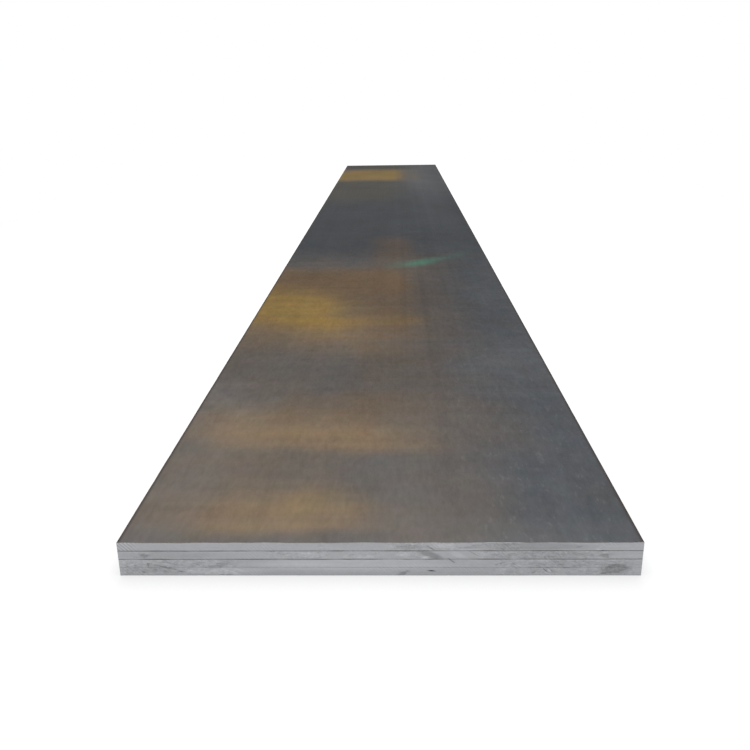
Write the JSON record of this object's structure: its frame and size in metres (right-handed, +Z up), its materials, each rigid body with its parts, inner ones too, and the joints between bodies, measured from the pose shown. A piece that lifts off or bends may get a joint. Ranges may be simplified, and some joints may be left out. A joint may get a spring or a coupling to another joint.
{
  "type": "aluminium plate",
  "caption": "Flush stack of long rectangular rolled aluminium plates with sawn ends, raw stock for cutting and machining.",
  "frame": {"origin": "middle of the underside of the stack, on the floor", "axes": "+Z up through the plates' thickness, +Y along their length and rolling direction, +X across their width"},
  "size_m": [1.22, 10, 0.088],
  "materials": {
    "mill_aluminium": "mill finish as rolled, satin with grain along the length, sawn ends"
  },
  "bodies": {
    "root": {"plate_1_bottom": "mill_aluminium", "plate_2": "mill_aluminium", "plate_3": "mill_aluminium", "plate_4_top": "mill_aluminium"}
  },
  "joints": []
}
